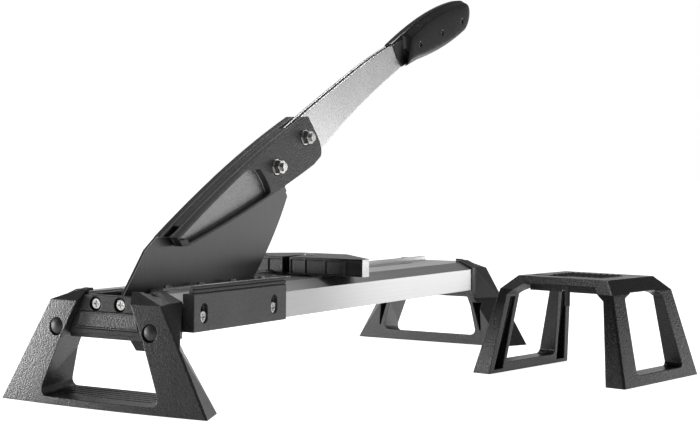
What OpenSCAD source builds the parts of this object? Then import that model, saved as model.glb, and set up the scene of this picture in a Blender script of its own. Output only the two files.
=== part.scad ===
// Lever guillotine cutter for floor planks and tiles, with its separate plank support stand.
// X runs along the table from the front foot to the rear foot, Y across it, Z up, in millimetres.
// The origin is on the floor, in the middle of the front foot's sill.

/* [Feet] */
// Distance between the middles of the two feet
foot_pitch = 608; // [600:1:640]
// Width of a foot where it stands on the floor
foot_w = 225; // [215:1:235]
// Depth of a foot where it stands on the floor
foot_d = 36; // [34:1:40]
// Height of the top of a foot
foot_h = 99.6; // [98:0.2:102]
// Height of the shoulder where a foot's leg starts
shoulder_z = 90; // [88:1:92]

/* [Table] */
// Width of the aluminium table section
table_w = 117.6; // [116:0.2:118]
// Height of the underside of the table
table_lo = 65; // [64:1:66]
// Height of the table's flat top
table_hi = 97; // [96:0.5:98]
// Height of the upper edge of the table's side faces
side_hi = 89.5; // [88:0.5:91]
// Height of the ledge that runs along the table's far half
ledge_hi = 101; // [100:0.5:102]

/* [Support bar] */
// Length of the height-adjustable bar at the side
bar_len = 143; // [130:1:150]
// Thickness of the bar
bar_t = 12; // [10:1:13]

/* [Lever] */
// Height of the lever's pivot above the floor
pivot_z = 76; // [75:1:77]
// Distance of the lever's pivot behind the origin
pivot_x = 20; // [19:1:21]
// Thickness of the blade
blade_t = 3; // [2:0.5:3]
// Width of the folded steel arm
arm_t = 8; // [7.6:0.2:8]
// Width of the plastic guard around the blade's root
guard_t = 27; // [26:1:29]
// Width of the hand grip
grip_t = 27; // [25:1:29]

/* [Fence] */
// Distance of the fence's front face from the origin
fence_x = 272; // [270:1:276]
// Length of the fence across the table
fence_len = 180; // [160:1:190]
// Height of the fence plate
fence_h = 17.5; // [15:0.5:17.5]

/* [Stand] */
// Distance of the stand's middle from the origin along the table
stand_x = 427; // [420:1:440]
// Distance of the stand's middle from the table's middle
stand_y = 263; // [255:1:400]
// Turn of the stand about the vertical, in degrees
stand_turn = 9.5; // [0:0.5:12]
// Width of the stand over its legs
stand_w = 175; // [170:1:185]
// Length of the stand's feet
stand_len = 149; // [140:1:160]

/* [Hidden] */

$fn = 48;
// Facet count of round corners inside a hull
hull_fn = 24;
// Gap between pieces of one body that lie against each other
snug = 0.1;
// Gap round a piece that moves
slack = 0.4;
// Length that runs a cut past the face it opens
over = 2;

// Half widths that several pieces share
table_hw = table_w / 2;
flat_hw = 43;
ledge_y = [16, 24];
shoulder_hw = 61.4;
block_hw = 60;

// Heights of the feet's parts
knee_z = 55;
block_lo = 60;
block_hi = 91.3;
window_top = 61;
sill_front = 6;
sill_back = 13;
cap_top = 95.5;

// Distances across a foot, measured from its middle outwards (-) and inwards (+)
lean_shoulder = -12.4;
lean_top = -5;
bow_floor = 5;
bow_shoulder = 2;
panel_face = -8;
cap_back = -2;
inner_back = 18;
collar_back = 18;

// Table
table_wall = 3.2;
tongue_lo = 86;
blade_slot_hw = 3.2;
pivot_bay_hw = 30;
pivot_bay_end = 46;

// Lever's eye
eye_r = 18;
boss_hw = 8;
table_front = cap_back;
table_rear = foot_pitch - cap_back;
slot_end = 548;

// Lever hardware
bolt_d = 8;
bolt_at = [[233.5, 207.4], [286, 238]];
nut_h = 6.5;
nut_af = 13;
washer_t = 1.6;
pivot_d = 10;
cheek_t = 6;

// Fence
fence_lo = 99;
fence_end = 13;
fence_back = fence_x + 75;
fence_screw_x = fence_x + 44;
notch_hw = 4.3;
notch_len = 28;

// Points of a quadratic curve from a to c that is drawn towards b, without its first point
function curve(a, b, c, steps = 12) =
    [for (i = [1 : steps]) let (t = i / steps)
        a * pow(1 - t, 2) + b * 2 * t * (1 - t) + c * pow(t, 2)];

// Points of a circular arc about c
function arc(c, r, from, to, steps = 12) =
    [for (i = [0 : steps]) let (a = from + (to - from) * i / steps)
        c + r * [cos(a), sin(a)]];

// Extrudes an outline given in X and Z along Y, from y0 to y1
module along_y(y0, y1) {
    translate([0, y1, 0])
        rotate([90, 0, 0])
            linear_extrude(y1 - y0)
                children();
}

// Extrudes an outline given in Y and Z along X, from x0 to x1
module along_x(x0, x1) {
    translate([x0, 0, 0])
        rotate([90, 0, 90])
            linear_extrude(x1 - x0)
                children();
}

// Cylinder lying along Y
module rod_y(d, y0, y1, x, z) {
    translate([x, y0, z])
        rotate([-90, 0, 0])
            cylinder(d = d, h = y1 - y0);
}

// Cylinder lying along X
module rod_x(d, x0, x1, y, z) {
    translate([x0, y, z])
        rotate([0, 90, 0])
            cylinder(d = d, h = x1 - x0);
}

// Hexagon prism lying along Y, with flats af apart
module hex_y(af, y0, y1, x, z) {
    translate([x, y0, z])
        rotate([-90, 0, 0])
            cylinder(d = af / cos(30), h = y1 - y0, $fn = 6);
}

// Places a child once for the front foot and once, mirrored, for the rear foot
module both_ends() {
    children();
    translate([foot_pitch, 0, 0])
        mirror([1, 0, 0])
            children();
}

// Copies a child to the other side of the table
module both_sides() {
    children();
    mirror([0, 1, 0])
        children();
}

// ---------------------------------------------------------------- feet

// Outline of the table section, grown by g
module table_outline(g = 0) {
    polygon([
        [-table_hw - g, table_lo - g], [table_hw + g, table_lo - g],
        [table_hw + g, side_hi], [flat_hw + g, table_hi + g],
        [ledge_y[1] + g, table_hi + g], [ledge_y[1] + g, ledge_hi + g],
        [ledge_y[0] - g, ledge_hi + g], [ledge_y[0] - g, table_hi + g],
        [-flat_hw - g, table_hi + g], [-table_hw - g, side_hi]
    ]);
}

// Trapezoid in Y and Z, half width a at height z0 and b at height z1
module trapezoid(a, b, z0, z1) {
    polygon([[-a, z0], [a, z0], [b, z1], [-b, z1]]);
}

// Thin slice of a foot at height z: a bowed front of half width hw at distance x0 from the
// foot's middle, and a straight back of half width back_hw at distance x1
module foot_slice(z, x0, hw, x1, back_hw, bow) {
    steps = 8;
    edge = 1.4;
    front = [for (i = [-steps : steps])
        [x0 - bow * (1 - pow(i / steps, 2)), (hw - edge) * i / steps]];
    translate([0, 0, z])
        linear_extrude(0.01)
            polygon(concat(front, [
                [x0 + edge, hw], [x1 - edge, back_hw], [x1, back_hw - edge],
                [x1, -back_hw + edge], [x1 - edge, -back_hw], [x0 + edge, -hw]
            ]));
}

// A-shaped body of a foot: its outer side leans in evenly, its inner side is upright above a knee
module foot_mass(collar) {
    rise = knee_z / shoulder_z;
    knee_hw = foot_w / 2 + (shoulder_hw - foot_w / 2) * rise;
    knee_x = -foot_d / 2 + (lean_shoulder + foot_d / 2) * rise;
    knee_bow = bow_floor + (bow_shoulder - bow_floor) * rise;
    hull() {
        foot_slice(0, -foot_d / 2, foot_w / 2, inner_back, 98, bow_floor);
        foot_slice(knee_z, knee_x, knee_hw, inner_back - 1, block_hw, knee_bow);
    }
    hull() {
        foot_slice(knee_z, knee_x, knee_hw, inner_back - 1, block_hw, knee_bow);
        foot_slice(shoulder_z, lean_shoulder, shoulder_hw, inner_back - 1, block_hw, bow_shoulder);
        foot_slice(block_hi, -1, block_hw, inner_back - 1, block_hw, 0);
        foot_slice(foot_h, lean_top, 33, 12, 42, 1);
    }
    along_x(0, collar)
        polygon([
            [-block_hw, block_lo], [block_hw, block_lo], [block_hw, block_hi],
            [42, foot_h - 0.6], [-42, foot_h - 0.6], [-block_hw, block_hi]
        ]);
}

// Opening between the legs, wider at the back near the top and with rounded corners
module foot_window() {
    r = 6;
    rims = [
        [-foot_d / 2 - 6, 63.5 - r, sill_front + r], [-foot_d / 2 - 6, 42.5, window_top - 1],
        [foot_d / 2 + 10, 60 - r, sill_back + r], [foot_d / 2 + 10, 51, 54]
    ];
    hull()
        for (p = rims)
            for (side = [-1, 1])
                translate([p[0], side * p[1], p[2]])
                    rotate([0, 90, 0])
                        cylinder(r = p[2] < 30 ? r : 1, h = 0.01, $fn = hull_fn);
}

// Pocket that lightens each leg from its inner side
module leg_pocket() {
    along_x(lean_shoulder + 5, foot_d / 2 + over)
        polygon([[66.5, 50], [68.5, 17], [67, 17], [57, 50]]);
}

// Grooves that roughen the sill as a carrying handle
module sill_grooves() {
    slope = (sill_back - sill_front) / (foot_d + 16);
    for (i = [-2 : 3])
        translate([i * 5, -50, sill_front + (i * 5 + foot_d / 2 + 6) * slope - 0.9])
            cube([2, 100, 3]);
}

module foot(collar) {
    difference() {
        foot_mass(collar);
        foot_window();
        both_sides()
            leg_pocket();
        sill_grooves();
        // Recess of the end panel between the legs, open at the top
        along_x(-foot_d, cap_back + snug)
            trapezoid(45.9, 23.6, window_top - 3, foot_h + over);
        // Seat of the table section
        along_x(cap_back, collar + over)
            table_outline(snug);
        // The table's end shows between the shoulders
        translate([cap_back, -38, side_hi + 3])
            cube([collar + over - cap_back, 76, 20]);
        // Clearance of the table's far ledge up to the rear collar's edge
        translate([cap_back, ledge_y[0] - 1, table_hi])
            cube([collar + over - cap_back, ledge_y[1] - ledge_y[0] + 2, 10]);
        // Seats of the round plugs
        both_sides()
            rod_x(15.6, -foot_d, -10, 51, 67);
        // Seats of the rubber pads
        both_sides()
            translate([-13, 72, -1])
                cube([26, 24, 2.6]);
    }
}

module front_foot() {
    // Distance from the pivot to the blade's round eye where it passes the table's underside
    eye_reach = sqrt(eye_r * eye_r - (pivot_z - table_lo) * (pivot_z - table_lo));
    notch_x = pivot_x - eye_reach - slack;
    notch_z = pivot_z - eye_r - over;
    color([0.16, 0.16, 0.17])
        difference() {
            foot(collar_back);
            // Notch in the bridge under the table for the blade's eye and its hub
            translate([notch_x, -boss_hw - slack, notch_z])
                cube([collar_back + over - notch_x, 2 * (boss_hw + slack),
                    table_lo + over - notch_z]);
        }
}

module rear_foot() {
    color([0.16, 0.16, 0.17])
        translate([foot_pitch, 0, 0])
            mirror([1, 0, 0])
                foot(collar_back + 6);
}

// Panel that closes the table's end between the legs
module end_cap() {
    difference() {
        union() {
            along_x(panel_face, cap_back)
                trapezoid(43.6, 26.4, window_top + 1, cap_top);
            along_x(panel_face + 2, cap_back)
                trapezoid(42.6, 43.6, window_top - 2.8, window_top + 1.1);
        }
        for (side = [-1, 1]) {
            rod_x(12.8, panel_face - over, panel_face + 3.5, side * 13.4, 88);
            rod_x(5.2, panel_face - over, cap_back + over, side * 13.4, 88);
        }
        along_x(panel_face - over, panel_face + 1)
            trapezoid(34, 29.5, 66, 81.5);
    }
}

module front_end_cap() {
    color([0.17, 0.17, 0.18])
        end_cap();
}

module rear_end_cap() {
    color([0.17, 0.17, 0.18])
        translate([foot_pitch, 0, 0])
            mirror([1, 0, 0])
                end_cap();
}

module name_plate() {
    color([0.3, 0.3, 0.31])
        along_x(panel_face - 0.4, panel_face + 0.9)
            trapezoid(33.6, 29.3, 66.4, 81.1);
}

// Pan head screw along X with a cross recess, its head towards -X
module cross_screw_x(x, y, z, head_d, shank_d, shank) {
    head = 2.4;
    slot = 1.3;
    difference() {
        union() {
            rod_x(head_d, x, x + head, y, z);
            rod_x(shank_d, x + head - 0.01, x + head + shank, y, z);
        }
        translate([x, y, z])
            for (turn = [0, 90])
                rotate([turn, 0, 0])
                    cube([2 * slot, slot, head_d * 0.6], center = true);
    }
}

module end_cap_screws() {
    color([0.8, 0.8, 0.82])
        both_ends()
            for (side = [-1, 1])
                cross_screw_x(panel_face + 3.5 - 2.4, side * 13.4, 88, 8.8, 5, 2.4);
}

module leg_plugs() {
    color([0.1, 0.1, 0.1])
        both_ends()
            both_sides()
                translate([-10.2, 51, 67])
                    rotate([0, -90, 0])
                        rotate_extrude()
                            polygon(concat([[0, 0], [7.6, 0], [7.6, 3.6]],
                                arc([0, -4.4], 11, 46.3, 90, 8)));
}

module foot_pads() {
    color([0.08, 0.08, 0.08])
        both_ends()
            both_sides()
                translate([-12.8, 72.2, 0])
                    cube([25.6, 23.6, 1.5]);
}

// ---------------------------------------------------------------- table

module table_section() {
    web = blade_slot_hw + table_wall;
    color([0.85, 0.86, 0.87])
        difference() {
            along_x(table_front, table_rear)
                table_outline();
            // Hollow chambers on both sides of the slot
            both_sides()
                along_x(table_front - over, table_rear + over)
                    polygon([
                        [table_hw - table_wall, table_lo + table_wall],
                        [table_hw - table_wall, side_hi - 2],
                        [flat_hw - 0.6, table_hi - table_wall],
                        [web, table_hi - table_wall], [web, table_lo + table_wall]
                    ]);
            // Slot that the blade and the clamp stud pass through
            translate([pivot_bay_end - over, -blade_slot_hw, table_lo - over])
                cube([slot_end - pivot_bay_end + over, 2 * blade_slot_hw, 40]);
            // Bay for the pivot at the front end
            translate([table_front - over, -pivot_bay_hw, table_lo - over])
                cube([pivot_bay_end + over - table_front, 2 * pivot_bay_hw, 40]);
            // Access to the pivot bolt's head and nut
            rod_y(21, -table_hw - over, table_hw + over, pivot_x, pivot_z);
            // Threads of the bar screws
            for (x = bar_screw_x)
                rod_y(5.1, -table_hw - over, -table_hw + table_wall + over, x, bar_screw_z);
            // Threads of the guide screws
            both_sides()
                for (x = guide_screw_x)
                    translate([x, guide_screw_y, table_hi - 8])
                        cylinder(d = 4.3, h = 20);
        }
}

guide_lo = 84;
guide_hi = table_hi + 1.6;
guide_screw_x = [62, 112, 162, 212];
guide_screw_y = 10.5;
guide_end = 256;

// Steel counter blade beside the blade: an upright lip in the slot under a flange on the table
module blade_guide() {
    inner = blade_t / 2 + 0.4;
    difference() {
        union() {
            translate([pivot_bay_end + 3, inner, guide_lo])
                cube([guide_end - pivot_bay_end - 3, 1.2, guide_hi - guide_lo]);
            translate([pivot_bay_end + 3, inner, table_hi + 0.05])
                cube([guide_end - pivot_bay_end - 3, 13.6, guide_hi - table_hi - 0.05]);
        }
        for (x = guide_screw_x)
            translate([x, guide_screw_y, table_hi - 1])
                cylinder(d = 4.4, h = 5);
    }
}

module near_blade_guide() {
    color([0.22, 0.22, 0.23])
        mirror([0, 1, 0])
            blade_guide();
}

module far_blade_guide() {
    color([0.22, 0.22, 0.23])
        blade_guide();
}

module guide_screws() {
    color([0.75, 0.75, 0.77])
        both_sides()
            for (x = guide_screw_x)
                translate([x, guide_screw_y, table_hi - 6])
                    difference() {
                        union() {
                            cylinder(d = 4.2, h = guide_hi - table_hi + 6.1);
                            translate([0, 0, guide_hi - table_hi + 6.02])
                                cylinder(d = 7, h = 1.6);
                        }
                        translate([0, 0, guide_hi - table_hi + 7.6])
                            cube([4.6, 1.1, 1.6], center = true);
                    }
}

module pivot_cheeks() {
    color([0.6, 0.6, 0.62])
        both_sides()
            difference() {
                translate([table_front + 0.2, pivot_bay_hw - snug - cheek_t, table_lo + 0.5])
                    cube([pivot_bay_end - table_front - 0.4, cheek_t, 30]);
                rod_y(pivot_d + 0.2, 0, table_hw, pivot_x, pivot_z);
            }
}

// Hook that hangs under the pivot and holds the lever down for carrying
module lever_catch() {
    color([0.14, 0.14, 0.14])
        along_x(18.5, 22.5)
            polygon([[-2.5, 61.5], [-2.5, 56], [-10, 46.5], [-19, 46.5], [-29.7, 58],
                [-29.7, 65.3], [-9.5, 65.3], [-9.5, 61.5]]);
}

module pivot_bolt() {
    reach = pivot_bay_hw + washer_t;
    color([0.7, 0.7, 0.72]) {
        rod_y(pivot_d, -reach - 0.01, reach + 9, pivot_x, pivot_z);
        hex_y(17, -reach - 6.4, -reach, pivot_x, pivot_z);
    }
}

module pivot_nut() {
    start = pivot_bay_hw + washer_t + snug;
    color([0.72, 0.72, 0.74])
        difference() {
            hex_y(17, start, start + 8, pivot_x, pivot_z);
            rod_y(pivot_d + snug, start - over, start + 10, pivot_x, pivot_z);
        }
}

module pivot_washers() {
    color([0.78, 0.78, 0.8])
        both_sides()
            difference() {
                rod_y(20, pivot_bay_hw, pivot_bay_hw + washer_t - 0.02, pivot_x, pivot_z);
                rod_y(pivot_d + 0.2, 0, table_hw, pivot_x, pivot_z);
            }
}

// Rubber bumper on the far blade guide that the guard comes down on
module lever_stop_pad() {
    color([0.1, 0.1, 0.1])
        translate([99.5, 9.4, guide_hi + 0.02])
            difference() {
                cylinder(d1 = 8.4, d2 = 7, h = 14.6);
                translate([0, 0, 13])
                    cylinder(d = 3, h = 3);
            }
}

// ---------------------------------------------------------------- support bar

bar_x0 = 20;
bar_y1 = -table_hw - 0.2;
bar_y0 = bar_y1 - bar_t;
bar_lo = table_lo + 0.5;
bar_hi = 98;
bar_slot_w = 7;
bar_screw_x = [bar_x0 + 14.5, bar_x0 + bar_len - 20];
bar_screw_z = 77.8;
bar_travel = 6;

module support_bar() {
    head_w = 10.6;
    color([0.2, 0.2, 0.21])
        difference() {
            translate([bar_x0, bar_y0, bar_lo])
                cube([bar_len, bar_t, bar_hi - bar_lo]);
            for (x = bar_screw_x)
                for (cut = [[bar_slot_w, 0, bar_t], [head_w, 0, 4.2]])
                    along_y(bar_y0 - over, cut[2] == bar_t ? bar_y1 + over : bar_y0 + cut[2])
                        translate([x, bar_screw_z]) {
                            circle(d = cut[0]);
                            translate([0, bar_travel + 0.8])
                                circle(d = cut[0]);
                            translate([-cut[0] / 2, 0])
                                square([cut[0], bar_travel + 0.8]);
                        }
        }
}

// Ridged lip along the upper edge of the bar that a plank rests against
module ribbed_strip() {
    ribs = 2;
    pitch = 3.4;
    color([0.14, 0.14, 0.14])
        difference() {
            translate([bar_x0, bar_y0 + 0.3, bar_hi + 0.02])
                cube([bar_len, 5.4, ribs * pitch - 0.6]);
            for (i = [0 : ribs - 1])
                translate([bar_x0 - over, bar_y0 - 1, bar_hi + 0.2 + i * pitch])
                    cube([bar_len + 2 * over, 2.4, 1.1]);
        }
}

module bar_screws() {
    head = 2.6;
    color([0.82, 0.82, 0.84])
        for (x = bar_screw_x)
            difference() {
                union() {
                    rod_y(9.8, bar_y0 + 1.4, bar_y0 + 1.4 + head, x, bar_screw_z);
                    rod_y(5, bar_y0 + 1.4 + head - 0.01, bar_y1 + 9, x, bar_screw_z);
                }
                translate([x, bar_y0 + 1.4, bar_screw_z])
                    for (turn = [0, 90])
                        rotate([0, turn, 0])
                            cube([1.3, 2.6, 6], center = true);
            }
}

module bar_nuts() {
    start = -table_hw + table_wall + snug;
    color([0.7, 0.7, 0.72])
        for (x = bar_screw_x)
            difference() {
                hex_y(8, start, start + 4, x, bar_screw_z);
                rod_y(5.1, start - over, start + 6, x, bar_screw_z);
            }
}

// ---------------------------------------------------------------- lever

pivot = [pivot_x, pivot_z];
guard_tail = [72, 142.5];
guard_tip = [291, 259.5];

// Upper edge of the guard, from its tail to its tip, lowered by drop
function guard_top(drop = 0) =
    concat([guard_tail - [0, drop]],
        curve(guard_tail - [0, drop], [181, 212.6 - drop], guard_tip - [0, drop]));

// Lower edge of the guard, from the front to the tail, raised by lift
function guard_low(lift = 0) =
    concat([[303.3, 210.7 + lift]],
        curve([303.3, 210.7 + lift], [196.5, 165.8 + lift], [90, 135.2 + lift]));

module guard_outline() {
    polygon(concat(guard_top(), [[303, 247]],
        curve([303, 247], [322, 228], [316, 219]), guard_low(), [[80, 134.4]]));
}

// Recess in the side of the guard between its root and the bolts
module guard_recess() {
    rim = 2.2;
    top = [for (p = guard_top(3.2)) if (p[0] < 199) p];
    low = [for (p = guard_low(rim)) if (p[0] < 219) p];
    polygon(concat(top, curve([199, 208.5], [218, 195], [223, 182.5], 8), low, [[86, 141.5]]));
}

module guard_half() {
    wall = 3;
    recess = 7.2;
    inner = arm_t / 2 + snug;
    difference() {
        along_y(snug / 2, guard_t / 2)
            guard_outline();
        // Room for the arm and the blade, closed along the top and the tail
        along_y(-over, inner)
            polygon(concat(
                [[60, 120], [60, 160], [80, 160]],
                [for (p = guard_top(wall)) if (p[0] > 80 && p[0] < 262) p],
                [[272, 255], [291, 266], [330, 266], [330, 120]]));
        along_y(guard_t / 2 - recess, guard_t / 2 + over)
            guard_recess();
        for (p = bolt_at) {
            rod_y(bolt_d + 0.2, -over, guard_t, p[0], p[1]);
            rod_y(17, guard_t / 2 - 1.2, guard_t, p[0], p[1]);
        }
    }
}

module near_guard() {
    color([0.2, 0.2, 0.21])
        mirror([0, 1, 0])
            guard_half();
}

module far_guard() {
    color([0.2, 0.2, 0.21])
        guard_half();
}

module blade() {
    nose = [271.6, 178.1];
    toe = [203, 87];
    color([0.3, 0.3, 0.31])
        difference() {
            along_y(-blade_t / 2, blade_t / 2)
                polygon(concat(
                    arc(pivot, eye_r, 140, 285),
                    [toe, [210.3, 97.2]],
                    curve([210.3, 97.2], [250, 138], nose),
                    [[268.6, 181.5], [270, 183.6], [267.4, 186.4], [267.2, 190.5],
                        [298, 231], [292, 249], [205, 207], [120, 162],
                        [78, 142.5], [57.7, 143.6], [41.8, 132.4]]));
            rod_y(16.1, -over, over, pivot_x, pivot_z);
            for (p = bolt_at)
                rod_y(bolt_d + 0.2, -over, over, p[0], p[1]);
        }
}

module blade_hub() {
    reach = pivot_bay_hw - snug - cheek_t - 0.3;
    color([0.5, 0.5, 0.52])
        difference() {
            union() {
                rod_y(16, -reach, reach, pivot_x, pivot_z);
                both_sides()
                    rod_y(27, blade_t / 2 + 0.05, boss_hw, pivot_x, pivot_z);
            }
            rod_y(pivot_d + 0.1, -reach - over, reach + over, pivot_x, pivot_z);
        }
}

module arm_outline() {
    polygon(concat(
        [[204, 212.5]], curve([204, 212.5], [297, 264], [427, 324.5]),
        curve([427, 324.5], [500, 357], [640, 399]),
        [[645, 384]], curve([645, 384], [470, 315], [360, 245]),
        curve([360, 245], [325, 221.5], [300, 212]), [[222, 183]]));
}

// Steel sheet folded into a U that is open along its top, with the blade held between its sides
module lever_arm() {
    slot = blade_t + 0.1;
    web = 5;
    color([0.75, 0.75, 0.76])
        difference() {
            along_y(-arm_t / 2, arm_t / 2)
                arm_outline();
            along_y(-slot / 2, slot / 2)
                polygon(concat([[190, 230], [190, 170], [222, 176], [330, 228 - web],
                    [345, 240 + web]], curve([345, 240 + web], [470, 320 + web], [630, 384]),
                    [[630, 430], [300, 290]]));
            for (p = bolt_at)
                rod_y(bolt_d + 0.2, -arm_t, arm_t, p[0], p[1]);
            for (p = grip_screw_at)
                rod_y(3.6, -arm_t, arm_t, p[0], p[1]);
        }
}

lever_seat = guard_t / 2 - 1.2;

module lever_bolts() {
    color([0.74, 0.74, 0.76])
        for (p = bolt_at) {
            rod_y(bolt_d, -lever_seat - washer_t - nut_h - 3, lever_seat + 0.01, p[0], p[1]);
            hex_y(nut_af, lever_seat, lever_seat + 5.3, p[0], p[1]);
        }
}

module lever_washers() {
    color([0.8, 0.8, 0.82])
        for (p = bolt_at)
            difference() {
                rod_y(16, -lever_seat - washer_t, -lever_seat - 0.02, p[0], p[1]);
                rod_y(bolt_d + 0.2, -guard_t, 0, p[0], p[1]);
            }
}

module lever_nuts() {
    start = -lever_seat - washer_t - 0.02;
    color([0.82, 0.82, 0.84])
        for (p = bolt_at)
            difference() {
                intersection() {
                    hex_y(nut_af, start - nut_h, start, p[0], p[1]);
                    translate([p[0], start - nut_h, p[1]])
                        rotate([-90, 0, 0])
                            cylinder(d1 = nut_af, d2 = nut_af + 12, h = nut_h);
                }
                rod_y(bolt_d + snug, start - nut_h - over, start + over, p[0], p[1]);
            }
}

grip_screw_at = [[537.7, 352.5], [593.6, 371.2], [646.7, 390.1]];

// Side outline of the grip at its middle
grip_side = concat(
    [[481, 348], [488, 354], [503, 361]],
    curve([503, 361], [575, 400], [652, 416.6], 10),
    curve([652, 416.6], [676, 421], [678.5, 402], 6),
    curve([678.5, 402], [678, 389], [659, 380.8], 4),
    curve([659, 380.8], [600, 353], [543, 338.4], 6),
    [[512, 325.6], [503, 324.2], [496.5, 331]]);

// Side outline of the grip's flank, inside the rounded edge
grip_flank = concat(
    [[519.5, 342], [519.5, 358.2]],
    curve([519.5, 358.2], [570, 392], [656, 411.5], 8),
    curve([656, 411.5], [669, 412], [667.5, 399], 4),
    curve([667.5, 399], [664, 386], [651, 380.5], 4),
    curve([651, 380.5], [590, 354], [535, 339], 6));

module grip_half() {
    cheek = 9;
    difference() {
        hull() {
            along_y(snug / 2, 4)
                polygon(grip_side);
            along_y(cheek - 0.01, cheek)
                polygon([for (p = grip_side) if (p[0] > 503) p]);
            along_y(grip_t / 2 - 0.01, grip_t / 2)
                polygon(grip_flank);
        }
        along_y(-over, arm_t / 2 + snug)
            polygon([[470, 300], [470, 362], [500, 359], [560, 383.5], [642, 406],
                [650, 382], [560, 347.5], [512, 325.5], [500, 316]]);
        along_y(-over, arm_t / 2 + 1.25)
            polygon([[470, 300], [470, 366], [508.4, 358], [515, 327.8], [507, 310]]);
        for (p = grip_screw_at) {
            rod_y(6.4, grip_t / 2 - 4, grip_t, p[0], p[1]);
            rod_y(3.4, -over, grip_t, p[0], p[1]);
        }
    }
}

module near_grip() {
    color([0.12, 0.12, 0.12])
        mirror([0, 1, 0])
            grip_half();
}

module far_grip() {
    color([0.12, 0.12, 0.12])
        grip_half();
}

module grip_screws() {
    color([0.35, 0.35, 0.36])
        for (p = grip_screw_at)
            difference() {
                union() {
                    rod_y(6, -grip_t / 2 + 1.6, -grip_t / 2 + 4, p[0], p[1]);
                    rod_y(3.2, -grip_t / 2 + 3.9, grip_t / 2 - 4.2, p[0], p[1]);
                }
                hex_y(3, -grip_t / 2, -grip_t / 2 + 3.2, p[0], p[1]);
            }
}

// Soft collar between the arm and the grip
module grip_collar() {
    color([0.1, 0.1, 0.1])
        both_sides()
            along_y(arm_t / 2 + 0.02, arm_t / 2 + 1.2)
                polygon([[486, 348], [508, 356.5], [514.5, 328], [507, 325.2], [496.5, 334]]);
}

// ---------------------------------------------------------------- fence

module fence_plan() {
    half = fence_len / 2;
    flank = fence_back - fence_x - fence_end;
    polygon([
        [fence_x, -half], [fence_x + fence_end, -half], [fence_back, -half + flank],
        [fence_back, half - flank], [fence_x + fence_end, half], [fence_x, half]
    ]);
}

// Plate with a square stop face and two mitre flanks
module fence_plate() {
    rib_pitch = 23.4;
    fields = 4;
    gap = 0.8;
    color([0.13, 0.13, 0.13])
        difference() {
            translate([0, 0, fence_lo])
                linear_extrude(fence_h)
                    fence_plan();
            // Gap that the blade's nose comes down into
            translate([fence_x - over, -notch_hw, fence_lo - over])
                cube([notch_len + over, 2 * notch_hw, fence_h + 2 * over]);
            // Shallow fields between the ribs of the stop face
            both_sides()
                for (i = [0 : fields - 1])
                    translate([fence_x - 1, max(5.6, rib_pitch * i - 1.1 + gap), fence_lo + 1.2])
                        cube([2.2, i == 0 ? 16 : min(rib_pitch - 2 * gap,
                            fence_len / 2 - 2 - rib_pitch * i), fence_h - 4]);
            // Groove that rides along the table's ledge
            translate([fence_x - over, ledge_y[0] - 1, fence_lo - 1])
                cube([100, ledge_y[1] - ledge_y[0] + 2, ledge_hi - fence_lo + 1.6]);
            // Hollow under the plate
            translate([fence_x + 30, -40, fence_lo - 1])
                cube([34, 22, 8]);
            translate([fence_screw_x, 0, fence_lo - 1])
                cylinder(d = 6.3, h = 30);
            translate([fence_screw_x, 0, fence_lo + fence_h - 2.4])
                cylinder(d = 12.4, h = 5);
        }
}

// Carriage under the plate, with a tongue in the slot
module fence_slider() {
    len = 44;
    color([0.6, 0.6, 0.62])
        difference() {
            union() {
                translate([fence_screw_x - len / 2, -14.5, table_hi + 0.4])
                    cube([len, 29, fence_lo - table_hi - 0.45]);
                translate([fence_screw_x - len / 2 + 6, -2.6, tongue_lo])
                    cube([len - 12, 5.2, table_hi - tongue_lo + 0.6]);
            }
            translate([fence_screw_x, 0, tongue_lo - 1])
                cylinder(d = 4.1, h = 30);
        }
}

module fence_screw() {
    color([0.82, 0.82, 0.84])
        translate([fence_screw_x, 0, fence_lo + fence_h - 2.35])
            difference() {
                union() {
                    cylinder(d = 12, h = 3);
                    translate([0, 0, -14.9])
                        cylinder(d = 6, h = 15);
                }
                translate([0, 0, 3])
                    cube([7, 1.4, 2], center = true);
            }
}

// Knurled wheel under the table that clamps the slider
module clamp_wheel() {
    flutes = 16;
    color([0.12, 0.12, 0.12])
        translate([fence_screw_x, 0, 57.6])
            difference() {
                cylinder(d = 34, h = 6.6);
                for (i = [0 : flutes - 1])
                    rotate(i * 360 / flutes)
                        translate([18, 0, -1])
                            cylinder(d = 4, h = 9);
                translate([0, 0, 1.4])
                    cylinder(d = 4.1, h = 10);
            }
}

module clamp_stud() {
    color([0.7, 0.7, 0.72])
        translate([fence_screw_x, 0, 59.1])
            cylinder(d = 4, h = fence_lo - 59.2);
}

// ---------------------------------------------------------------- stand

module on_stand() {
    translate([stand_x, -stand_y, 0])
        rotate(-stand_turn)
            children();
}

stand_h = 99.5;
hook_at = [-32, 2];

module stand_mass() {
    r = 2;
    levels = [
        [stand_len / 2, stand_w / 2, 0], [60, 65, 86], [46, 52, stand_h]
    ];
    hull()
        for (p = levels)
            for (sx = [-1, 1])
                for (sy = [-1, 1])
                    translate([sx * (p[0] - r), sy * (p[1] - r), p[2]])
                        cylinder(r = r, h = 0.01, $fn = hull_fn);
}

// Tunnel between the two end frames, with chamfered upper corners
module stand_tunnel() {
    along_x(-stand_len, stand_len)
        polygon([[-67, -over], [67, -over], [55.5, 80], [41, 92], [-41, 92], [-55.5, 80]]);
}

// Opening in each end frame
module stand_window() {
    along_y(-stand_w, stand_w)
        polygon(concat(
            arc([41, 15], 5, -90, -8, 6), arc([33, 79], 5, -8, 50, 4), arc([24, 84], 3, 50, 90, 3),
            arc([-24, 84], 3, 90, 130, 3), arc([-33, 79], 5, 130, 188, 4), arc([-41, 15], 5, 188, 270, 6)));
}

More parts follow.
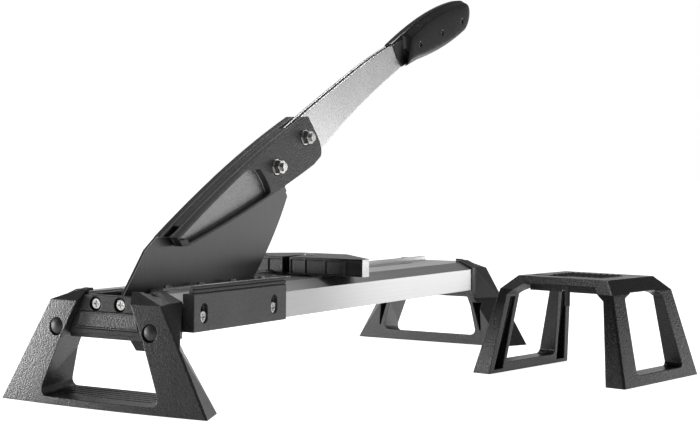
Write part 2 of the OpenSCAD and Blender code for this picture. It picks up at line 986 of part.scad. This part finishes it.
// Hollow of each leg, open towards the tunnel
module leg_hollows() {
    for (sx = [-1, 1])
        for (sy = [-1, 1])
            hull() {
                translate([sx * 59 - 8, sy * 70 - 7, 4])
                    cube([16, 14, 0.1]);
                translate([sx * 49 - 4.5, sy * 55 - 4, 78])
                    cube([9, 8, 0.1]);
            }
}

module stand_frame() {
    color([0.16, 0.16, 0.17])
        on_stand()
            difference() {
                union() {
                    difference() {
                        stand_mass();
                        stand_tunnel();
                    }
                    // Ribs under the top
                    for (x = [-34, 0, 34])
                        translate([x - 1.25, -44, 84.5])
                            cube([2.5, 88, 9]);
                }
                stand_window();
                leg_hollows();
                translate([-30, 8, 90])
                    cube([9, 38, 20]);
                translate([-20, -30, stand_h - 0.9])
                    cube([42, 60, 3]);
                translate([hook_at[0], hook_at[1], 80]) {
                    cylinder(d = 5.4, h = 30);
                    cylinder(d = 10.4, h = 12);
                }
                for (sx = [-1, 1])
                    for (sy = [-1, 1])
                        translate([sx * 57 - 6, sy * 77.5 - 5, -1])
                            cube([12, 10, 2.6]);
            }
}

module stand_pads() {
    color([0.08, 0.08, 0.08])
        on_stand()
            for (sx = [-1, 1])
                for (sy = [-1, 1])
                    translate([sx * 57 - 5.9, sy * 77.5 - 4.9, 0])
                        cube([11.8, 9.8, 1.5]);
}

module stand_grip_mat() {
    color([0.1, 0.1, 0.1])
        on_stand()
            translate([-19.9, -29.9, stand_h - 0.85])
                union() {
                    cube([41.8, 59.8, 1.2]);
                    for (i = [0 : 5])
                        for (j = [0 : 8])
                            translate([3.4 + i * 7, 3 + j * 6.7, 1.1])
                                cylinder(d = 3, h = 0.9, $fn = 16);
                }
}

// Pin that hangs under the stand's top and clips it to the table for storage
module stand_hook() {
    color([0.3, 0.33, 0.3])
        on_stand()
            translate([hook_at[0], hook_at[1], 0]) {
                translate([0, 0, 70.5])
                    cylinder(d = 5.2, h = stand_h - 70.5 - 0.4);
                translate([0, 0, 86.5])
                    cylinder(d = 10, h = 5.2);
            }
}

front_foot();
rear_foot();
front_end_cap();
rear_end_cap();
name_plate();
end_cap_screws();
leg_plugs();
foot_pads();
table_section();
near_blade_guide();
far_blade_guide();
guide_screws();
pivot_cheeks();
pivot_bolt();
pivot_nut();
pivot_washers();
lever_catch();
lever_stop_pad();
bar_screws();
bar_nuts();
support_bar();
ribbed_strip();
blade();
blade_hub();
lever_arm();
near_guard();
far_guard();
lever_bolts();
lever_nuts();
lever_washers();
near_grip();
far_grip();
grip_screws();
grip_collar();
fence_plate();
fence_slider();
fence_screw();
clamp_wheel();
clamp_stud();
stand_frame();
stand_pads();
stand_grip_mat();
stand_hook();
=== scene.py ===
import math

import bmesh
import bpy
import numpy as np
from mathutils import Matrix, Vector


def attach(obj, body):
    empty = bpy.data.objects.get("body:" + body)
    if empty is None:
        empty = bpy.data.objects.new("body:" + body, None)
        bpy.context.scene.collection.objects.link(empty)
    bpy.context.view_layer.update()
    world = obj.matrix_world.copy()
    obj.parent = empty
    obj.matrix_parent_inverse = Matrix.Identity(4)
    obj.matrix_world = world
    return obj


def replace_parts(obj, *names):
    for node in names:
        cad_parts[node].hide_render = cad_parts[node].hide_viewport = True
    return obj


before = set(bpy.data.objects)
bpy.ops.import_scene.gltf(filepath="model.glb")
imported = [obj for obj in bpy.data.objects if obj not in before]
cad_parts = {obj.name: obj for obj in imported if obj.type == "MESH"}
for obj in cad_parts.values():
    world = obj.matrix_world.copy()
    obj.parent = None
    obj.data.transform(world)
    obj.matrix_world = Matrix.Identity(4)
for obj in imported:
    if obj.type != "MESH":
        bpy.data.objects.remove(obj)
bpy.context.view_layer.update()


# Feet.  The front and the rear foot are the same moulding in glass-filled nylon: two raking
# legs, a sill, a carrying window and a block that takes the end of the table.  The mould is
# spark-eroded, so the skin has a fine even grain that is rubbed smooth on the corners.
class Signal:
    """A value that varies over a piece.  Each sign of arithmetic on it adds one Math node."""

    def __init__(self, socket):
        self.socket = socket

    def math(self, operation, *values):
        node = self.socket.id_data.nodes.new("ShaderNodeMath")
        node.operation = operation
        for slot, value in zip(node.inputs, values):
            plug(slot, value)
        return Signal(node.outputs[0])

    def __add__(self, other):
        return self.math("ADD", self, other)

    def __sub__(self, other):
        return self.math("SUBTRACT", self, other)

    def __rsub__(self, other):
        return self.math("SUBTRACT", other, self)

    def __mul__(self, other):
        return self.math("MULTIPLY", self, other)

    def __truediv__(self, other):
        return self.math("DIVIDE", self, other)

    def __abs__(self):
        return self.math("ABSOLUTE", self)

    def __lt__(self, other):
        return self.math("LESS_THAN", self, other)

    def __gt__(self, other):
        return self.math("GREATER_THAN", self, other)

    __radd__ = __add__
    __rmul__ = __mul__

    def least(self, other):
        return self.math("MINIMUM", self, other)

    def most(self, other):
        return self.math("MAXIMUM", self, other)

    def rise(self, low, high):
        """0 below low, 1 above high and straight between them."""
        return ((self - low) / (high - low)).least(1).most(0)


def plug(slot, value):
    """Links a signal to a socket, or writes a plain value on it."""
    if isinstance(value, Signal):
        slot.id_data.links.new(value.socket, slot)
    else:
        slot.default_value = value


def grey(level, warmth=0.0):
    """A near-neutral colour of the given linear brightness."""
    return (level * (1 + warmth), level, level * (1 - warmth), 1)


def new_node(nodes, kind, settings=None, links=None, out=0):
    """One node of a tree: its settings first, then the values or links of its sockets."""
    node = nodes.new("ShaderNode" + kind)
    for key, value in (settings or {}).items():
        setattr(node, key, value)
    for key, value in (links or {}).items():
        plug(node.inputs[key], value)
    return Signal(node.outputs[out])


class Finish:
    """A material, built up node by node round its Principled shader."""

    def __init__(self, name, fixed):
        self.material = bpy.data.materials.new(name)
        self.material.use_nodes = True
        self.nodes = self.material.node_tree.nodes
        self.shader = self.nodes["Principled BSDF"]
        for socket, value in fixed.items():
            self.shader.inputs[socket].default_value = value
        self.place = self.node("TexCoord", out="Object")

    def node(self, kind, settings=None, links=None, out=0):
        """One node of this material."""
        return new_node(self.nodes, kind, settings, links, out)

    def turned(self, scale, turn=(0, 0, 0)):
        """Object coordinates, stretched and then turned."""
        links = {"Vector": self.place, "Rotation": turn, "Scale": scale}
        return self.node("Mapping", None, links)

    def noise(self, scale, detail=2.0, where=None):
        links = {"Vector": where or self.place, "Scale": scale, "Detail": detail}
        return self.node("TexNoise", None, links, "Fac")

    def mixed(self, share, first, second):
        """The first colour, going over to the second as the share goes from 0 to 1."""
        return self.node("Mix", {"data_type": "RGBA"}, {0: share, 6: first, 7: second}, 2)

    def rounded(self, radius):
        """The normal of the surface with its corners rounded, and a mask of those corners."""
        soft = self.node("Bevel", {"samples": 6}, {"Radius": radius})
        flat = self.node("NewGeometry", out="Normal")
        match = self.node("VectorMath", {"operation": "DOT_PRODUCT"}, {0: soft, 1: flat}, "Value")
        contrast = 7
        return soft, ((1 - match) * contrast).least(1).most(0)

    def finish(self, colour, roughness, height, depth, normal):
        """Feeds the shader: colour, roughness, and a relief of the given depth in metres."""
        plug(self.shader.inputs["Base Color"], colour)
        plug(self.shader.inputs["Roughness"], roughness)
        links = {"Height": height, "Distance": depth, "Strength": 1.0, "Normal": normal}
        plug(self.shader.inputs["Normal"], self.node("Bump", None, links))
        return self.material


def moulded(name, shade, roughness, grain=0.0018, depth=0.0004, corner=0.0012, rub=2.2,
            bare=None, bare_shade=0.5, sheen=0.5):
    """Black moulded plastic: even grain, slow clouds of shade, corners rubbed paler.

    bare gives the mask of a place where satin metal shows instead.
    """
    skin = Finish(name, {"Specular IOR Level": sheen})
    fine = skin.noise(1 / grain, 3)
    cloud = skin.noise(22, 3)
    scuff = skin.noise(90, 4)
    soft, corners = skin.rounded(corner)
    rubbed = corners * scuff.rise(0.35, 0.6)
    base = skin.mixed((cloud * 0.35 + fine * 0.65).rise(0.35, 0.65),
                      grey(shade * 0.45), grey(shade * 1.7))
    colour = skin.mixed(rubbed * 0.6, base, grey(shade * rub + 0.01))
    rough = roughness + (cloud - 0.5) * 0.12 + (fine - 0.5) * 0.3 - rubbed * 0.08
    if bare:
        metal = bare(skin)
        colour = skin.mixed(metal, colour, skin.mixed(fine, grey(bare_shade * 0.6),
                                                      grey(bare_shade * 1.3)))
        plug(skin.shader.inputs["Metallic"], metal * 0.9)
    return skin.finish(colour, rough, fine, depth, soft)


def dress(name, material):
    """Gives a CAD piece its finish in place of the materials it had."""
    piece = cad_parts[name]
    piece.data.materials.clear()
    piece.data.materials.append(material)
    return piece


foot_black = moulded("foot_black", 0.012, 0.33, grain=0.0015, depth=0.0004)
dress("front_foot", foot_black)
dress("rear_foot", foot_black)


# End caps.  A cap closes the table profile at each end.  It is moulded in smoother black
# nylon with a chamfered lower lip and hangs on two screws.
cap_black = moulded("cap_black", 0.007, 0.36, grain=0.0012, depth=0.0003, sheen=0.35)
dress("front_end_cap", cap_black)
dress("rear_end_cap", cap_black)


# Name plate.  A shallow label field on the front cap with a coarse etched grain and a
# raised rim.  It is left blank.
def along(parts, count):
    """Points along a closed outline: each part is a straight line through two points or a
    quadratic curve (1-t)^2 a + 2t(1-t) b + t^2 c through three, cut into count steps."""
    t = np.linspace(0, 1, count, endpoint=False)[:, None]
    pieces = []
    for part in parts:
        a, c = np.array(part[0]), np.array(part[-1])
        b = np.array(part[1]) if len(part) == 3 else (a + c) / 2
        pieces.append((1 - t) ** 2 * a + 2 * t * (1 - t) * b + t ** 2 * c)
    return np.concatenate(pieces)


def ringed(name, rings, material, body, slot, *cad_nodes):
    """A closed body through a stack of closed rings, with the first and last ring filled."""
    rings = np.asarray(rings) / 1000
    count, around = rings.shape[:2]
    start = (np.arange(count - 1)[:, None] * around + np.arange(around)[None, :]).ravel()
    after = (np.arange(count - 1)[:, None] * around + (np.arange(around) + 1)[None, :] % around)
    after = after.ravel()
    faces = np.stack([start, after, after + around, start + around], 1).tolist()
    faces.append(list(range(around))[::-1])
    faces.append(list(range((count - 1) * around, count * around)))
    mesh = bpy.data.meshes.new(name)
    mesh.from_pydata(rings.reshape(-1, 3).tolist(), [], faces)
    work = bmesh.new()
    work.from_mesh(mesh)
    bmesh.ops.recalc_face_normals(work, faces=work.faces)
    work.to_mesh(mesh)
    work.free()
    mesh.polygons.foreach_set("use_smooth", [len(face) == 4 for face in faces])
    mesh.materials.append(material)
    piece = bpy.data.objects.new(name, mesh)
    bpy.context.scene.collection.objects.link(piece)
    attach(piece, body)
    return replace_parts(piece, *cad_nodes) if cad_nodes else piece


def plate_ring(inset, x):
    """The plate's rounded outline, moved in by an inset, at a distance x along the table."""
    low, high, foot, crown, r = 66.4 + inset, 81.1 - inset, 33.6 - inset, 29.6 - inset, 1.6
    outline = along([
        [(-foot + r, low), (foot - r, low)],
        [(foot - r, low), (foot, low), (foot - r * 0.3, low + r)],
        [(foot - r * 0.3, low + r), (crown + r * 0.3, high - r)],
        [(crown + r * 0.3, high - r), (crown, high), (crown - r, high)],
        [(crown - r, high), (r - crown, high)],
        [(r - crown, high), (-crown, high), (-crown - r * 0.3, high - r)],
        [(-crown - r * 0.3, high - r), (r * 0.3 - foot, low + r)],
        [(r * 0.3 - foot, low + r), (-foot, low), (r - foot, low)]], 12)
    return np.column_stack([np.full(len(outline), x), outline])


ringed("label_field",
       [plate_ring(0, -7.2), plate_ring(0, -8.0), plate_ring(0.3, -8.5), plate_ring(1.0, -8.5),
        plate_ring(1.3, -8.2), plate_ring(1.6, -7.7), plate_ring(2.2, -7.6)],
       moulded("plate_black", 0.03, 0.4, grain=0.0016, depth=0.0009, corner=0.0006),
       "base", "plate_plastic", "name_plate")


# Screws of the end caps, the table and the bar.  Bright zinc-plated pan heads, with light
# turning marks, patches of darker plating here and there, and bright worn corners.
def plated(name, shade, roughness, corner=0.0005):
    """Zinc-plated turned steel: fine swirls, small stains and bright worn corners."""
    metal = Finish(name, {"Metallic": 1.0})
    swirl = metal.noise(1400, 2, metal.turned((1, 1, 5)))
    stain = metal.noise(260, 3)
    soft, corners = metal.rounded(corner)
    colour = metal.mixed(stain.rise(0.35, 0.75), grey(shade, 0.01), grey(shade * 0.62, 0.02))
    colour = metal.mixed(corners * 0.7, colour, grey(min(shade * 1.3, 0.95)))
    rough = roughness + (swirl - 0.5) * 0.12 + stain * 0.08
    return metal.finish(colour, rough, swirl, 0.00003, soft)


bright_zinc = plated("bright_zinc", 0.5, 0.2)
dress("end_cap_screws", bright_zinc)


# Plugs in the legs and pads under the feet.  The plugs are round black snap-in covers;
# the pads are soft rubber, dull and slightly dusty.
def rubber(name, shade):
    """Dull rubber: pale dust over a black, pitted skin."""
    skin = Finish(name, {"Specular IOR Level": 0.3})
    pits = skin.noise(1800, 2)
    dust = skin.noise(60, 5).rise(0.4, 0.75)
    soft, corners = skin.rounded(0.0006)
    colour = skin.mixed(dust * 0.5 + corners * 0.3, grey(shade), grey(shade * 2.4))
    return skin.finish(colour, 0.72 + dust * 0.15, pits, 0.0001, soft)


plug_black = moulded("plug_black", 0.004, 0.5, grain=0.0012, depth=0.0001, corner=0.0007)
pad_black = rubber("pad_black", 0.02)
dress("leg_plugs", plug_black)
dress("lever_catch", plug_black)
dress("foot_pads", pad_black)
dress("lever_stop_pad", pad_black)


# Table.  An aluminium extrusion, satin anodised.  The die leaves fine lines along its
# whole length, and planks pushed over the top leave faint scratches across it.
def drawn(name, shade, roughness, scratches=0.25):
    """Satin anodised section: die lines along X, soft clouding and stray scratches."""
    metal = Finish(name, {"Metallic": 1.0})
    lines = metal.noise(1.0, 3, metal.turned((4, 1500, 1500)))
    cloud = metal.noise(9, 3)
    cuts = metal.noise(1.0, 1, metal.turned((700, 12, 700), (0, 0, 0.2)))
    soft, corners = metal.rounded(0.0006)
    cut = cuts.rise(0.68, 0.74) * scratches
    base = metal.mixed((lines * 0.6 + cloud * 0.4).rise(0.3, 0.7),
                       grey(shade * 0.9), grey(min(shade * 1.06, 0.98)))
    colour = metal.mixed(corners * 0.5, base, grey(0.95))
    rough = roughness + (lines - 0.5) * 0.12 + (cloud - 0.5) * 0.08 - cut * 0.2
    return metal.finish(colour, rough, lines - cut, 0.00002, soft)


dress("table_section", drawn("satin_aluminium", 0.56, 0.36))


# Blade guides and their screws.  Two ground steel strips line the blade's slot in the table
# as counter blades, held by small screws.  The pivot's cheeks are of the same bright steel.
guide_bright = drawn("guide_bright", 0.66, 0.24, 0.1)
for name in ("near_blade_guide", "far_blade_guide", "pivot_cheeks"):
    dress(name, guide_bright)
dress("guide_screws", bright_zinc)


# Pivot.  An M10 bolt with its nut and washers carries the lever's hub between two cheeks.
# It sits low in the front foot, and all of it is zinc plated.
bolt_zinc = plated("bolt_zinc", 0.6, 0.22)
for name in ("pivot_bolt", "pivot_nut", "pivot_washers"):
    dress(name, bolt_zinc)


# Support bar.  A ribbed black bar beside the table, set to the plank's thickness by two
# screws in slots.  A thin ribbed strip is glued along its upper lip.
bar_black = moulded("bar_black", 0.03, 0.36, grain=0.0014, depth=0.0004)
dress("support_bar", bar_black)
dress("ribbed_strip", moulded("strip_black", 0.014, 0.45, grain=0.0008))
dress("bar_screws", bright_zinc)
dress("bar_nuts", bolt_zinc)


# Blade and hub.  Hardened tool steel, blued dark, 3 mm thick.  It is ground along the
# cutting edge, and the grinding lines run square to that edge.
def blued(name, shade, roughness):
    """Blued, ground steel: fine lines that slope with the blade and bright bare corners."""
    metal = Finish(name, {"Metallic": 1.0})
    lines = metal.noise(1.0, 3, metal.turned((1300, 1300, 12), (0, math.radians(-58), 0)))
    cloud = metal.noise(14, 4)
    soft, corners = metal.rounded(0.0009)
    base = metal.mixed((lines * 0.5 + cloud * 0.5).rise(0.3, 0.7),
                       grey(shade * 0.8), grey(shade * 1.2))
    colour = metal.mixed(corners, base, grey(0.75))
    rough = roughness + (lines - 0.5) * 0.1 + (cloud - 0.5) * 0.1
    return metal.finish(colour, rough, lines, 0.00002, soft)


dress("blade", blued("blade_blued", 0.11, 0.42))
dress("blade_hub", bolt_zinc)


# Lever arm.  Sheet steel folded to a U that is open along its top.  It is satin nickel over
# a fine blasted surface.
def blasted(name, shade, roughness):
    """Satin nickel on blasted steel: a fine even sparkle, a little handled in places."""
    metal = Finish(name, {"Metallic": 1.0})
    sand = metal.noise(1500, 2)
    cloud = metal.noise(11, 4)
    soft, corners = metal.rounded(0.0012)
    base = metal.mixed((sand * 0.6 + cloud * 0.4).rise(0.3, 0.7),
                       grey(shade * 0.88), grey(shade * 1.1))
    colour = metal.mixed(corners * 0.6, base, grey(0.92))
    rough = roughness + (sand - 0.5) * 0.14 + (cloud - 0.5) * 0.1
    return metal.finish(colour, rough, sand, 0.00005, soft)


dress("lever_arm", blasted("arm_nickel", 0.62, 0.34))


# Guards.  Two grained plastic shells clamp the blade's root and the arm between them.
# Two bolts with nuts and washers go through the lot.
def recess_floor(skin):
    """Mask of the floor of the guard's recess, which is shown as satin metal."""
    across = skin.node("SeparateXYZ", None, {0: skin.place}, "Y")
    floor_depth, tolerance = 0.0063, 0.0004
    return abs(abs(across) - floor_depth) < tolerance


guard_black = moulded("guard_black", 0.02, 0.4, grain=0.0018, depth=0.0005, corner=0.0014,
                      bare=recess_floor, bare_shade=0.28)
dress("near_guard", guard_black)
dress("far_guard", guard_black)
for name in ("lever_bolts", "lever_nuts", "lever_washers"):
    dress(name, bright_zinc)


# Grip.  Two polished black shells with crowned flanks, screwed together round the arm.  A
# collar stands in front of them, and the screws sit at the bottom of round holes.
flank = [[(507.4, 327), (517.6, 358.7)], [(517.6, 358.7), (570, 391), (658, 413.5)],
         [(658, 413.5), (671, 413), (669.3, 400.1)], [(669.3, 400.1), (667, 388), (655.4, 380.2)],
         [(655.4, 380.2), (600, 352), (530.3, 335)], [(530.3, 335), (507.4, 327)]]
near_edge = [[(516.5, 326.3), (508, 362.3)], [(508, 362.3), (577, 400), (652, 416.6)],
             [(652, 416.6), (676, 421), (678, 402)], [(678, 402), (677.5, 389), (659, 380.8)],
             [(659, 380.8), (600, 353), (543, 338.4)], [(543, 338.4), (516.5, 326.3)]]
far_edge = [[(503, 324.6), (481.6, 348)], [(481.6, 348), (575, 400), (652, 416.6)],
            [(652, 416.6), (676, 421), (678, 402)], [(678, 402), (677.5, 389), (659, 380.8)],
            [(659, 380.8), (600, 353), (543, 338.4)], [(543, 338.4), (503, 324.6)]]


def shell_ring(edge, share, inward, across):
    """A ring that lies between the seam's edge (share 0) and the flank's edge (share 1), is
    drawn in towards the grip's middle line by a share and stands at a distance across:
    ring = (1 - share) edge + share flank, then (1 - inward) ring + inward middle."""
    ring = along(edge, 40) * (1 - share) + along(flank, 40) * share
    front, back = 524, 652
    t = np.clip((ring[:, :1] - front) / (back - front), 0, 1)
    middle = np.hstack([front + (back - front) * t, 343 + 44 * t + 12 * t ** 2])
    ring = ring * (1 - inward) + middle * inward
    return np.column_stack([ring[:, 0], np.full(len(ring), across), ring[:, 1]])


def grip_shell(name, edge, seam, side, *cad_nodes):
    """One half of the grip, solid inside: flat at the seam, a roof at 4.4 + 7.9 share up to
    the flank's edge, and a crowned flank at 13.45 - 1.1 (1 - inward)^3, all in mm."""
    rings = [shell_ring(edge, 0, 0.9, seam), shell_ring(edge, 0, 0.03, seam),
             shell_ring(edge, 0, 0, seam + side * 0.5)]
    roof = np.array([0.02, 0.25, 0.5, 0.75, 0.92])
    rings += [shell_ring(edge, share, 0, side * (4.4 + 7.9 * share)) for share in roof]
    crown = np.array([0.01, 0.03, 0.06, 0.12, 0.22, 0.36, 0.55, 0.75, 0.92])
    rings += [shell_ring(edge, 1, inward, side * (13.45 - 1.1 * (1 - inward) ** 3))
              for inward in crown]
    shell = ringed(name, rings, grip_black, "lever", "grip_plastic", *cad_nodes)
    screw_places = ((537.7, 352.5), (593.6, 371.2), (646.7, 390.1))
    for x, z in screw_places:
        bpy.ops.mesh.primitive_cylinder_add(
            vertices=32, radius=0.0029, depth=0.008, rotation=(math.pi / 2, 0, 0),
            location=(x / 1000, side * 0.0135, z / 1000))
        drill = bpy.context.object
        hole = shell.modifiers.new("hole", "BOOLEAN")
        hole.object, hole.operation, hole.solver = drill, "DIFFERENCE", "EXACT"
        bpy.context.view_layer.update()
        bored = bpy.data.meshes.new_from_object(
            shell.evaluated_get(bpy.context.evaluated_depsgraph_get()))
        shell.modifiers.remove(hole)
        shell.data = bored
        bpy.data.objects.remove(drill)
    return shell


grip_black = moulded("grip_black", 0.006, 0.15, grain=0.003, depth=0.00002, corner=0.0007, rub=3)
grip_shell("near_grip_shell", near_edge, -4.05, -1, "near_grip")
grip_shell("far_grip_shell", far_edge, -3.95, 1, "far_grip")
dress("grip_screws", plated("dark_screw", 0.2, 0.3))
dress("grip_collar", plug_black)


# Fence.  A black plate with moulded ribs that slides along the table's slot.  A hand wheel
# below the table locks it.
def fence_ends(skin):
    """Mask of the fence's two end faces, which are bright as sawn aluminium is."""
    end_distance = 0.0896
    return abs(skin.node("SeparateXYZ", None, {0: skin.place}, "Y")) > end_distance


fence_black = moulded("fence_black", 0.006, 0.36, grain=0.0014, depth=0.0003, sheen=0.35,
                      bare=fence_ends, bare_shade=0.75)
dress("fence_plate", fence_black)
dress("fence_slider", guide_bright)
dress("fence_screw", bright_zinc)
dress("clamp_wheel", plug_black)
dress("clamp_stud", bolt_zinc)


# Plank stand.  A loose four-legged block of black nylon with a rubber mat on top.  It holds
# up the far end of a long plank.
stand_black = moulded("stand_black", 0.005, 0.3, grain=0.0016, depth=0.0003, corner=0.0014, rub=9,
                      sheen=0.3)
dress("stand_frame", stand_black)
dress("stand_pads", pad_black)
dress("stand_grip_mat", rubber("mat_black", 0.03))
dress("stand_hook", plug_black)


# Studio.  A wide pale floor under a soft overhead light and a soft box above the lever, with
# a long low box at the near side and a small one beyond the front foot.
def sheet(name, corners, material):
    """One flat four-cornered face."""
    mesh = bpy.data.meshes.new(name)
    mesh.from_pydata(corners, [], [(0, 1, 2, 3)])
    mesh.materials.append(material)
    piece = bpy.data.objects.new(name, mesh)
    bpy.context.scene.collection.objects.link(piece)
    return piece


def pale_floor():
    """Matt white paint with a barely seen mottle.  It gives off light of its own, so it stays
    near white and shadows on it are faint."""
    paint = Finish("pale_floor", {"Specular IOR Level": 0.0})
    mottle = paint.noise(3, 2)
    colour = paint.mixed(mottle, grey(0.9), grey(0.93))
    flat = paint.node("NewGeometry", out="Normal")
    paint.shader.inputs["Emission Color"].default_value = grey(1)
    paint.shader.inputs["Emission Strength"].default_value = 0.9
    return paint.finish(colour, 0.9 + mottle * 0.05, mottle, 0.00001, flat)


reach = 60
sheet("floor", [(-reach, -reach, 0), (reach, -reach, 0), (reach, reach, 0),
                         (-reach, reach, 0)], pale_floor())


def lamp(name, kind, place, target, strength, **settings):
    """A lamp at a place, aimed at a target, and not seen itself."""
    data = bpy.data.lights.new(name, kind)
    data.energy = strength
    for key, value in settings.items():
        setattr(data, key, value)
    piece = bpy.data.objects.new(name, data)
    bpy.context.scene.collection.objects.link(piece)
    aim = (Vector(target) - Vector(place)).to_track_quat("-Z", "Y")
    piece.matrix_world = Matrix.LocRotScale(Vector(place), aim, None)
    piece.visible_camera = False


lamp("overhead", "SUN", (0, 0, 3), (0.2, 0.1, 0), 0.45, angle=math.radians(70))
lamp("above", "AREA", (0.75, 0.1, 1.3), (0.5, 0, 0.2), 6, shape="RECTANGLE", size=0.7,
     size_y=0.35)
lamp("near_side", "AREA", (1.9, -1.3, 0.12), (0.3, 0, 0.12), 2.5, shape="RECTANGLE",
     size=1.5, size_y=0.2)
lamp("far_left", "AREA", (-0.22, 0.6, 0.1), (0, 0.085, 0.03), 3.4, shape="RECTANGLE",
     size=0.22, size_y=0.16)

world = bpy.data.worlds.new("studio")
bpy.context.scene.world = world
world.use_nodes = True
sky = world.node_tree.nodes

# The surround is grey where it lights the pieces, with a brighter band low down and a bright
# patch ahead.  Where the camera sees it directly it is plain white.
heading = new_node(sky, "TexCoord", out="Generated")
upward = new_node(sky, "SeparateXYZ", None, {0: heading}, "Z")
low = 1 - upward.rise(0.05, 0.35)
facing = new_node(sky, "VectorMath", {"operation": "DOT_PRODUCT"},
                  {0: heading, 1: (0.86, 0.51, 0)}, "Value")
surround = 0.16 + low * (0.2 + facing.rise(0.7, 0.95) * 0.75)
seen = new_node(sky, "LightPath", out="Is Camera Ray")
plug(sky["Background"].inputs["Strength"], surround * (1 - seen) + seen)
sky["Background"].inputs["Color"].default_value = (1, 1, 1, 1)

# Camera.  It stands low, in front and to the near side, and looks almost level.
yaw, pitch, roll = 0.538816, -0.0036504, 0.0075275
ahead = Vector((math.cos(yaw) * math.cos(pitch), math.sin(yaw) * math.cos(pitch),
                math.sin(pitch)))
side = Vector((math.sin(yaw), -math.cos(yaw), 0))
upright = side.cross(ahead)
right = side * math.cos(roll) + upright * math.sin(roll)
lens = bpy.data.cameras.new("camera")
lens.sensor_width = 36
lens.lens = 75.41
lens.shift_x, lens.shift_y = 0.01594, -0.04699
lens.clip_start, lens.clip_end = 0.05, 200
camera = bpy.data.objects.new("camera", lens)
bpy.context.scene.collection.objects.link(camera)
turn = Matrix((right, right.cross(ahead), -ahead)).transposed()
camera.matrix_world = Matrix.LocRotScale(Vector((-0.982129, -0.811691, 0.201115)),
                                         turn.to_quaternion(), None)
bpy.context.scene.camera = camera
bpy.context.scene.view_settings.view_transform = "Standard"
